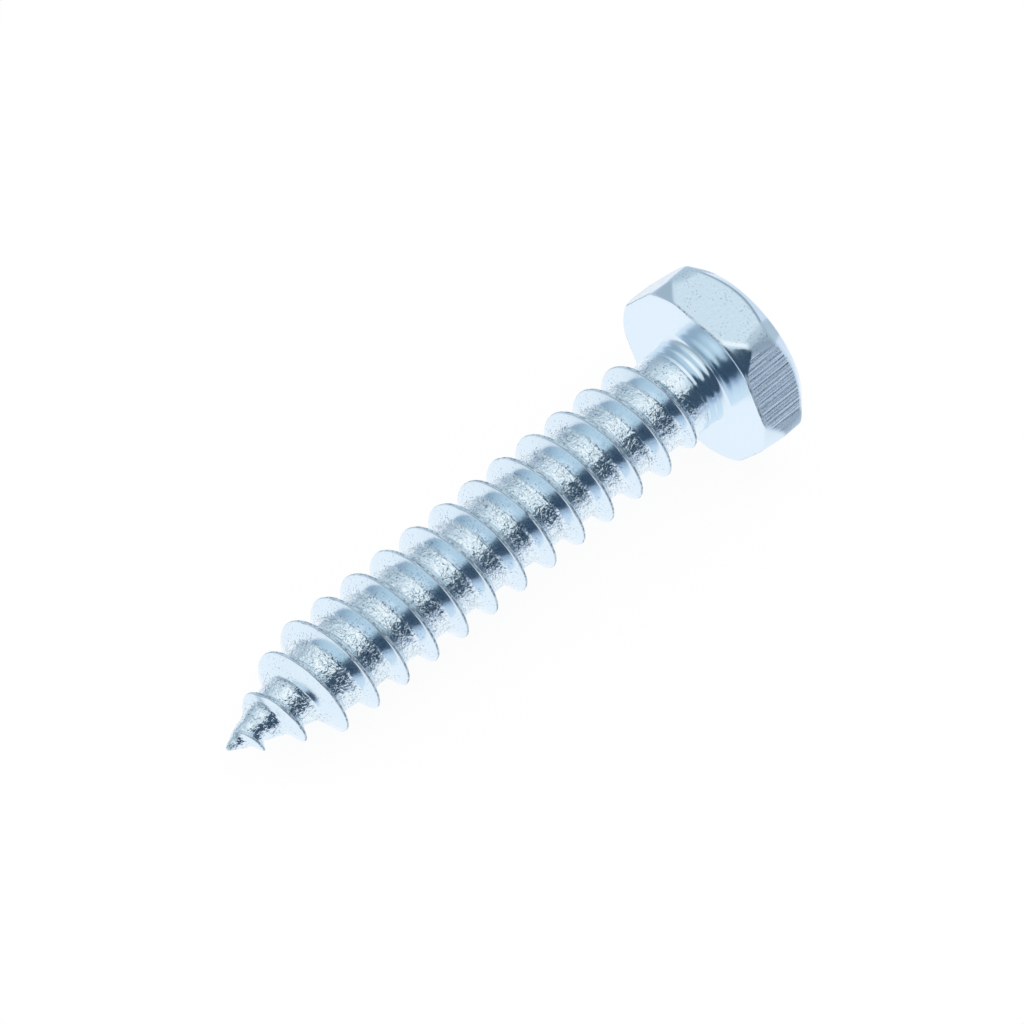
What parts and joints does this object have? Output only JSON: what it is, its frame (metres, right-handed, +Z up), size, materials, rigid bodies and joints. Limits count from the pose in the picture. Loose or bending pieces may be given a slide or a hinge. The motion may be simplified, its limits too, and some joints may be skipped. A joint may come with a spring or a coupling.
{
  "type": "hex head sheet metal screw",
  "caption": "Zinc plated sheet metal screw with a plain hex head, a coarse spaced thread and a cone point, lying on its side.",
  "frame": {"origin": "on the ground, under the middle of the lying screw's bounding box", "axes": "+Z up; +X along the screw from its point to its head, level with the ground; the screw's own axis hangs 4.2 degrees down towards the point, as it comes to rest on a flat of the head and a thread crest"},
  "size_m": [0.0282, 0.009, 0.008],
  "materials": {
    "zinc_plated_steel": "bright zinc plating over rolled steel"
  },
  "bodies": {
    "root": {"tapping_screw": "zinc_plated_steel"}
  },
  "joints": []
}
